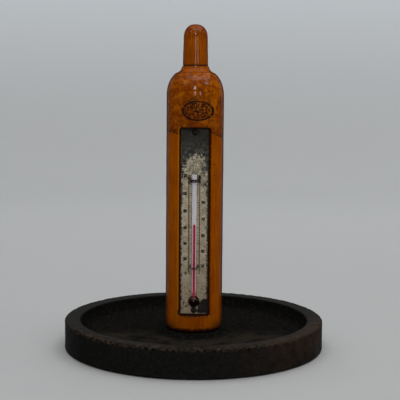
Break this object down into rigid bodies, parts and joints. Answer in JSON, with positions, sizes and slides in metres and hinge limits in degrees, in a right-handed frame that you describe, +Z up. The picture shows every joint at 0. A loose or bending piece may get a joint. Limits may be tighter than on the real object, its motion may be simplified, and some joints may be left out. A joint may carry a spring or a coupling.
{
  "type": "desk thermometer",
  "caption": "Desk thermometer shaped like a painted gas cylinder with a domed screw cap, a spirit tube on a recessed scale plate, standing in a round cast-iron tray.",
  "frame": {"origin": "centre of the felt pad's underside, on the surface that the thermometer stands on", "axes": "+Z up along the cylinder's axis; the scale faces -Y; +X is to the right for someone reading the scale"},
  "size_m": [0.13, 0.13, 0.1609],
  "materials": {
    "iron": "black enamel worn to a dull sheen, dusty, with rust at the rim",
    "felt": "dark green wool felt",
    "steel": "dull plated steel",
    "body_paint": "turned hardwood under aged amber gloss paint, crazed and darker at the shoulder",
    "cap_paint": "turned hardwood under aged amber gloss paint",
    "fibre": "dark vulcanised fibre",
    "plate": "sheet metal with cream lacquer, speckled and tarnished, with a printed black scale",
    "pin": "dark oxidised",
    "tube_glass": "clear, glossy",
    "opal": "white opal glass",
    "bulb_spirit": "dark red liquid",
    "thread_spirit": "bright red liquid",
    "wire": "dark annealed wire"
  },
  "bodies": {
    "stand": {"tray": "iron", "felt_pad": "felt", "base_washer": "steel", "base_screw": "steel", "cylinder_body": "body_paint", "cap_stud": "steel", "scale_plate": "plate", "top_plate_pin": "pin", "bottom_plate_pin": "pin", "glass_tube": "tube_glass", "opal_backing": "opal", "spirit_bulb": "bulb_spirit", "upper_tie": "wire", "lower_tie": "wire"},
    "cap_seal": {"cap_washer": "fibre"},
    "valve_cap": {"cap": "cap_paint"},
    "spirit_level": {"spirit_column": "thread_spirit", "spirit_meniscus": "thread_spirit"}
  },
  "joints": [
    {"name": "cap_turn", "type": "hinge", "parent": "stand", "child": "cap_seal", "pos_m": [0, 0, 0.1404], "axis": [0, 0, 1], "range_deg": [0, 2520]},
    {"name": "cap_lift", "type": "slide", "parent": "cap_seal", "child": "valve_cap", "axis": [0, 0, 1], "range_m": [0, 0.0074]},
    {"name": "spirit_rise", "type": "slide", "parent": "stand", "child": "spirit_level", "axis": [0, 0, 1], "range_m": [-0.0244, 0.0241], "deforming": ["spirit_column"]}
  ],
  "couplings": [
    {"joint": "cap_turn", "follows": "cap_lift", "rad_per_m": 5936.8}
  ]
}
